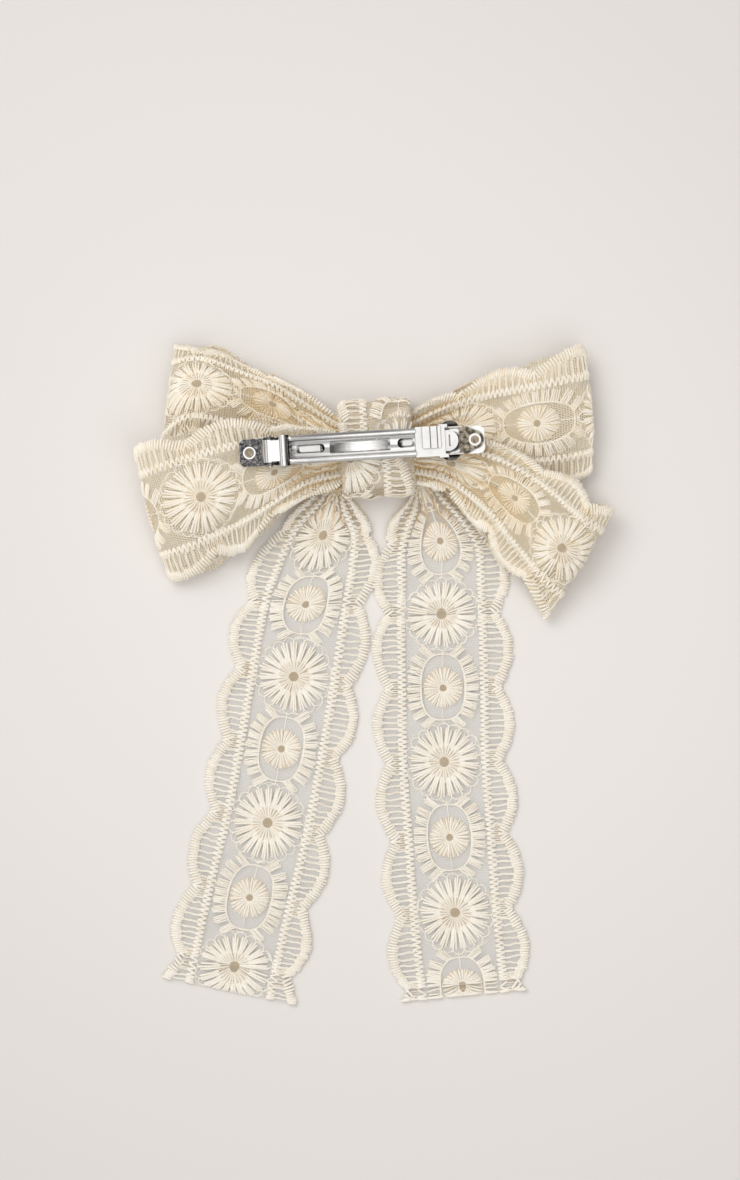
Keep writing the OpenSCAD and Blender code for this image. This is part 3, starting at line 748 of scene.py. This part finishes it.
lower_right = Ribbon([
    [-68, (11, -11.5, 9.6), (10, -4, 11.4), (11, 3, 10.2)],
    [-62, (16.7, -13.2, 10.2), (16.7, -4.5, 12.2), (16.7, 4, 10.9)],
    [-52, (25, -16, 8.8), (26, -6, 14), (26, 4.5, 12.2)],
    [-39, (33, -25, 8), (38, -11.5, 15), (44, -1, 13.6)],
    [-24.4, (38, -33, 7.5), (49, -20, 15.4), (61, -9.5, 13)],
    [0, (47.5, -47.6, 6.6), (63.0, -36.6, 14), (75.5, -19.5, 11.8)],
    [11, (57, -60, 4), (70.5, -42, 8.4), (81, -25, 8.6)],
    [22.5, (47.5, -46.5, 3), (62.5, -35.5, 3.6), (75, -20, 6.6)],
    [43, (38.5, -32.5, 4), (49, -20.5, 6.6), (60, -10, 9.2)],
    [57, (33.5, -24.5, 4.6), (38, -11.5, 7.6), (44, -1, 10.4)],
    [70, (25, -15.6, 6), (26, -6, 8.8), (26, 4.5, 9.8)],
    [80, (16.7, -13.2, 8.2), (16.7, -4.5, 9.2), (16.7, 4, 8.8)],
    [86, (11, -11.5, 8.0), (10, -4, 8.8), (11, 3, 8.4)],
], phase=3.3, hollow=(-25, -4))


def tail_rib(p, x, y, heading, half=LACE_HALF):
    """Rib of a tail that lies flat, its centre at x, y and its heading in degrees from -Y."""
    z = 0.6
    w = half * np.array([math.cos(math.radians(heading)), -math.sin(math.radians(heading)), 0])
    middle = np.array([x, y, z])
    return [p, middle - w, middle, middle + w]


left_tail = Ribbon([
    [-24, (-3, -4, 2.4), (-3, -8, 2.6), (-3, -11, 2.4)],
    [-19, (-7.5, -6, 2.4), (-7.5, -9.5, 2.6), (-7.2, -13.4, 2.3)],
    [-12, (-17, -14.5, 2.0), (-11, -17, 2.3), (-4.0, -17.5, 1.9)],
    [-1, (-30, -23.5, 1.3), (-14.3, -27, 1.8), (4.0, -28.2, 1.2)],
    [11, (-38.5, -35.5, 0.7), (-18.0, -39, 0.8), (3.6, -38, 0.7)],
    [24.4, (-44.4, -48, 0.6), (-21.8, -50.7, 0.6), (1.0, -53, 0.6)],
    tail_rib(48.8, -27.1, -74, 13),
    tail_rib(73.2, -32.6, -97.6, 13.5),
    tail_rib(97.6, -38.6, -121.7, 16),
    tail_rib(122, -46.0, -146, 16),
    tail_rib(146.4, -52.2, -167.9, 15),
    tail_rib(155.4, -54.6, -176.6, 15),
], fold_depth=1.5, ruffle=0.0, phase=0.9)
right_tail = Ribbon([
    [-53, (12, -11, 2.4), (12, -8, 2.6), (12, -5, 2.4)],
    [-47.5, (16.5, -13.4, 2.3), (16.9, -9.5, 2.6), (16.9, -6, 2.4)],
    [-40.5, (14.0, -18.5, 1.9), (20, -17, 2.3), (27, -13.5, 2.0)],
    [-30, (6.0, -26.5, 1.2), (23, -26.5, 1.8), (37, -24, 1.3)],
    [-21.5, (1.0, -35.5, 0.7), (24.1, -35.2, 0.8), (44.6, -35, 0.7)],
    [-10, (1.0, -47, 0.6), (23.4, -47, 0.6), (45.8, -46.5, 0.6)],
    tail_rib(0, 22.9, -56.7, 2, half=23),
    tail_rib(24.4, 22.0, -80.7, 2),
    tail_rib(48.8, 20.9, -105.1, 1),
    tail_rib(73.2, 21.2, -130.1, -1),
    tail_rib(97.6, 21.5, -155.0, -1),
    tail_rib(122, 22.5, -178.6, -2),
    tail_rib(126, 22.7, -182.6, -2),
], fold_depth=1.5, ruffle=0.0, phase=2.6)


def lace_pieces(name, surface, thread, net):
    """The net ground and the embroidery of one ribbon."""
    ground = net_mesh(name + "_net", surface, surface.p_low, surface.p_high, net)
    stitches = stitch_mesh(name + "_embroidery", embroidery(surface.p_low, surface.p_high), surface, thread)
    return ground, stitches


for name, surface in (("upper_left_loop", upper_left), ("lower_left_loop", lower_left),
                      ("upper_right_loop", upper_right), ("lower_right_loop", lower_right)):
    ground, stitches = lace_pieces(name, surface, lace_thread, shaded_loop_net)
    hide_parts(name)
    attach(ground, "bow")
    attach(stitches, "bow")

for name, surface, body in (("left_tail", left_tail, "left_ribbon"),
                            ("right_tail", right_tail, "right_ribbon")):
    ground, stitches = lace_pieces(name, surface, tail_thread, tail_net)
    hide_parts(name, name + "_top")
    for piece in (ground, stitches):
        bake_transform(piece)


# ---------------------------------------------------------------- knot

class KnotWrap:
    """Lace wound round the knot, about the X axis. Only a window of its width shows at a time:
    the left edge of the lace above the barrette, the right edge below it."""

    window = 28.0            # the width that shows
    corner = 6.0             # radius of the section's corners

    def __init__(self):
        low, high = (np.array(c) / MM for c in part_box("knot_wrap"))
        self.x0, self.x1 = low[0] - 0.4, high[0] + 0.4
        self.y0, self.y1, self.z0, self.z1 = low[1], high[1], low[2], high[2]
        flat_y = self.y1 - self.y0 - 2 * self.corner
        flat_z = self.z1 - self.z0 - 2 * self.corner
        arc = math.pi / 2 * self.corner
        self.stops = np.cumsum([0, flat_y, arc, flat_z, arc, flat_y, arc, flat_z, arc])
        self.length = self.stops[-1]

    def section(self, p):
        """Point and outward direction in Y and Z at p round the section, from the top's +Y end."""
        p = np.mod(p, self.length)
        y0, y1 = self.y0 + self.corner, self.y1 - self.corner
        z0, z1 = self.z0 + self.corner, self.z1 - self.corner
        centres = ((y0, z1), (y0, z0), (y1, z0), (y1, z1))
        y, z = np.zeros_like(p), np.zeros_like(p)
        ny, nz = np.zeros_like(p), np.zeros_like(p)
        ends = ((y1, z1, y0, z1), (y0, z1, y0, z0), (y0, z0, y1, z0), (y1, z0, y1, z1))
        for k in range(4):
            start = math.pi / 2 * (k + 1)
            a, b, c = self.stops[2 * k], self.stops[2 * k + 1], self.stops[2 * k + 2]
            on = (p >= a) & (p <= b)
            u = (p - a) / (b - a)
            dy, dz = math.cos(start), math.sin(start)
            ya, za, yb, zb = ends[k]
            y = np.where(on, ya + (yb - ya) * u + dy * self.corner, y)
            z = np.where(on, za + (zb - za) * u + dz * self.corner, z)
            ny, nz = np.where(on, dy, ny), np.where(on, dz, nz)
            on = (p > b) & (p <= c)
            angle = start + (p - b) / (c - b) * math.pi / 2
            y = np.where(on, centres[k][0] + self.corner * np.cos(angle), y)
            z = np.where(on, centres[k][1] + self.corner * np.sin(angle), z)
            ny, nz = np.where(on, np.cos(angle), ny), np.where(on, np.sin(angle), nz)
        return y, z, ny, nz

    def first_q(self, p):
        """The q at the knot's left side: it slides under the barrette, and back round the front."""
        top = self.stops[1]
        p = np.mod(p, self.length)
        down = np.clip((p - top * 0.25) / (top * 0.5), 0, 1)
        back = np.clip((p - self.stops[3]) / (self.stops[6] - self.stops[3]), 0, 1)
        return -LACE_HALF + 19.5 * (down * down * (3 - 2 * down) - back * back * (3 - 2 * back))

    def place(self, p, q, lift):
        """Points in metres for pattern places p, q, and the outward directions there."""
        y, z, ny, nz = self.section(p)
        u = (q - self.first_q(p)) / self.window
        x = self.x0 + (self.x1 - self.x0) * u
        turned = 1.6 * np.clip(np.abs(u - 0.5) - 0.44, 0, 1) / 0.06
        fold = 0.55 * np.sin(2 * np.pi * 2.5 * u + 0.6 + 0.05 * p) + 0.12 * np.sin(0.5 * p + q)
        height = 0.85 + fold * 0.7 - turned + lift
        points = np.stack([x, y + ny * height, np.maximum(z + nz * height, RESTING)], -1)
        normal = np.stack([np.zeros_like(ny), ny, nz], -1)
        return points * MM, normal

    def shade(self, p, q):
        """Painted shade, slight and even: the knot has no deep folds."""
        return np.full(p.shape, 0.1)

    def shows(self, group):
        """Only the stitches inside the window."""
        q = group["points"][..., 1]
        u = (q - self.first_q(group["points"][..., 0])) / self.window
        keep = ((u >= 0) & (u <= 1)).all(axis=1)
        return dict(group, **{key: group[key][keep] for key in ("points", "radius", "lift")})


def knot_pieces():
    """The net and the embroidery wound round the knot."""
    wrap = KnotWrap()
    shift = 12.0     # puts the fans of large daisies above and below the barrette
    rows, columns = 96, 30
    p = np.linspace(0, wrap.length, rows + 1)[:, None] + np.zeros(columns + 1)
    q = wrap.first_q(p) + np.linspace(0, 1, columns + 1) * wrap.window
    points, _ = wrap.place(p, q, np.full_like(p, -0.15))
    ground = make_mesh("shaded_knot_net", points.reshape(-1, 3), grid_quads(points.shape), shaded_knot_net,
                       wrap.shade(p, q).ravel(), np.stack([p, q], -1).reshape(-1, 2))
    groups = embroidery(-shift, wrap.length - shift)
    for group in groups:
        group["points"][..., 0] += shift
    stitches = stitch_mesh("knot_embroidery", [wrap.shows(g) for g in groups], wrap, knot_thread)
    for piece in (ground, stitches):
        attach(piece, "bow")
    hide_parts("knot_wrap")


def rounded_square(angle):
    """Distance from the middle to the edge of a rounded square of half width 1, in each direction."""
    power = 3.2
    return (np.abs(np.cos(angle)) ** power + np.abs(np.sin(angle)) ** power) ** (-1 / power)


def gathered_bundle():
    """The pinched middle of the ribbons: a bundle with folds running along X."""
    low, high = (np.array(c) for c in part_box("gather_core"))
    middle, half = (low + high) / 2, (high - low) / 2
    rows, ring = 24, 120
    x = np.linspace(low[0], high[0], rows + 1)
    angle = np.linspace(0, 2 * np.pi, ring, endpoint=False)
    waist = 1 - 0.1 * np.exp(-((x - middle[0]) / 0.003) ** 2)
    pleats = np.sin(angle * 26)
    folds = 1 - 0.05 * (1 + pleats) - 0.02 * (1 + np.sin(angle * 11 + 1))
    size = waist[:, None] * (rounded_square(angle) * folds)[None, :]
    points = np.stack([np.repeat(x[:, None], ring, 1), middle[1] + half[1] * size * np.cos(angle),
                       middle[2] + half[2] * size * np.sin(angle)], -1)
    index = np.arange((rows + 1) * ring).reshape(rows + 1, ring)
    following = np.roll(index, -1, axis=1)
    quads = np.stack([index[:-1], index[1:], following[1:], following[:-1]], -1).reshape(-1, 4)
    half_ring = ring // 2
    caps = []
    for end, flip in ((index[0], 1), (index[-1], -1)):
        strip = [[end[k], end[k + 1], end[ring - 2 - k], end[ring - 1 - k]] for k in range(half_ring - 1)]
        caps.append(np.array(strip)[:, ::flip])
    # The tone deepens in the valleys between the pleats: painted shade.
    bundle = make_mesh("gathered_ribbons", points.reshape(-1, 3), np.concatenate([quads] + caps),
                       knot_thread, tone_and_shade=np.tile(0.5 + 0.5 * pleats, rows + 1))
    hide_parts("gather_core")
    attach(bundle, "bow")


def binding_winding():
    """The thread wound round that bundle."""
    middle = sum(np.array(c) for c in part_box("gather_core")) / 2
    low, high = (np.array(c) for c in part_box("binding_thread"))
    turns, radius = 7, 0.00033
    steps = np.linspace(0, turns * 2 * np.pi, turns * 40)
    grow = rounded_square(steps)
    half = (high - low) / 2 - 0.0004
    curve = bpy.data.curves.new("binding_thread_winding", "CURVE")
    curve.dimensions = "3D"
    curve.bevel_depth, curve.bevel_resolution = radius, 2
    line = curve.splines.new("POLY")
    line.points.add(len(steps) - 1)
    for k, (a, g) in enumerate(zip(steps, grow)):
        along = low[0] + 0.0005 + (high[0] - low[0] - 0.001) * k / len(steps)
        round_y, round_z = half[1] * g * math.cos(a), half[2] * g * math.sin(a)
        line.points[k].co = (along, middle[1] + round_y, middle[2] + round_z, 1)
    winding = bpy.data.objects.new("binding_thread_winding", curve)
    bpy.context.collection.objects.link(winding)
    curve.materials.append(knot_thread)
    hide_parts("binding_thread")
    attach(winding, "bow")


knot_pieces()
gathered_bundle()
binding_winding()


# ---------------------------------------------------------------- barrette

def finish_metal(node, material):
    """The CAD piece itself, with its edges broken and its final finish."""
    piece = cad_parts[node]
    piece.data.materials.clear()
    piece.data.materials.append(material)
    soft = piece.modifiers.new("broken_edges", "BEVEL")
    soft.width, soft.segments = BROKEN_EDGE, 2
    soft.limit_method, soft.angle_limit = "ANGLE", math.radians(40)
    soft.harden_normals = True
    for polygon in piece.data.polygons:
        polygon.use_smooth = True


for node, material in (("base_plate", plate_nickel), ("hinge_pin", bright_nickel), ("clip_arm", arm_nickel),
                       ("catch_box", box_nickel), ("tension_bar", spring_steel), ("clasp_plate", dark_nickel),
                       ("clasp_eyelet", bright_nickel), ("upper_release_ear", ear_nickel),
                       ("lower_release_ear", ear_nickel), ("glue_pad", glue_material())):
    finish_metal(node, material)


# ---------------------------------------------------------------- studio

def studio_floor():
    """A pale sheet of paper with painted light falloff: it darkens a little away from the bow."""
    s = Shader("paper_sweep")
    middle = s.node("VectorMath", {0: s.place(), 1: (0, -0.05, 0)}, operation="DISTANCE").outputs["Value"]
    # Painted light falloff: darker away from the bow.
    painted_falloff = s.remap(middle, 0.06, 0.24)
    paper = s.mix(s.noise(12, 2), (0.79, 0.76, 0.73, 1), (0.80, 0.77, 0.74, 1))
    s.plug(s.mix(painted_falloff, paper, (0.71, 0.68, 0.65, 1)), "Base Color")
    s.set(Roughness=0.9, Specular_IOR_Level=0.1)
    mesh = bpy.data.meshes.new("floor")
    size = 3.0
    corners = [(-size, -size, 0), (size, -size, 0), (size, size, 0), (-size, size, 0)]
    mesh.from_pydata(corners, [], [(0, 1, 2, 3)])
    mesh.materials.append(s.material)
    floor = bpy.data.objects.new("floor", mesh)
    bpy.context.collection.objects.link(floor)
    floor.location.z = -0.0001


def studio_light():
    """Soft surroundings that the metal reflects, brighter overhead, and two large lamps."""
    world = bpy.data.worlds.new("studio")
    bpy.context.scene.world = world
    world.use_nodes = True
    nodes, links = world.node_tree.nodes, world.node_tree.links
    background = nodes["Background"]
    direction = nodes.new("ShaderNodeSeparateXYZ")
    links.new(nodes.new("ShaderNodeTexCoord").outputs["Generated"], direction.inputs[0])
    ramp = nodes.new("ShaderNodeValToRGB")
    links.new(direction.outputs[2], ramp.inputs[0])
    # Brightness by height, from straight down (0) to straight up (1). The dark band near the top
    # draws the dark lines along the barrette's rails.
    levels = ((0.0, 0.15), (0.35, 0.55), (0.62, 0.95), (0.76, 1.0),
              (0.81, 0.22), (0.86, 0.22), (0.92, 1.28), (1.0, 1.35))
    stops = ramp.color_ramp.elements
    while len(stops) < len(levels):
        stops.new(0.5)
    for stop, (position, level) in zip(stops, levels):
        stop.position, stop.color = position, (level, 0.985 * level, 0.97 * level, 1)
    dim = nodes.new("ShaderNodeMapRange")       # darker towards +X
    for socket, value in zip(dim.inputs[1:5], (0.1, 0.65, 1.0, 0.25)):
        socket.default_value = value
    links.new(direction.outputs[0], dim.inputs[0])
    links.new(ramp.outputs[0], background.inputs[0])
    links.new(dim.outputs[0], background.inputs[1])
    for name, place, size, power in (("key", (-0.45, 0.5, 0.9), 0.7, 5.0),
                                     ("fill", (0.5, -0.5, 0.9), 0.9, 2.9)):
        light = bpy.data.lights.new(name, "AREA")
        light.shape, light.size, light.energy = "SQUARE", size, power
        lamp = bpy.data.objects.new(name, light)
        lamp.location = place
        aim = Vector((0, -0.06, 0)) - Vector(place)
        lamp.rotation_euler = aim.to_track_quat("-Z", "Y").to_euler()
        bpy.context.collection.objects.link(lamp)
    bpy.context.scene.view_settings.view_transform = "Standard"


def studio_camera():
    """Straight above, turned so that the barrette rises a little to the right."""
    middle_x, middle_y, aim_height = -0.0002, -0.0469, 0.012
    view_height, lens, sensor = 0.3867, 120.0, 36.0
    camera = bpy.data.cameras.new("camera")
    camera.lens, camera.sensor_fit = lens, "VERTICAL"
    camera.sensor_height = sensor
    made = bpy.data.objects.new("camera", camera)
    made.location = (middle_x, middle_y, aim_height + view_height * lens / sensor)
    made.rotation_euler = (0, 0, math.radians(-3.42))
    bpy.context.collection.objects.link(made)
    bpy.context.scene.camera = made


studio_floor()
studio_light()
studio_camera()
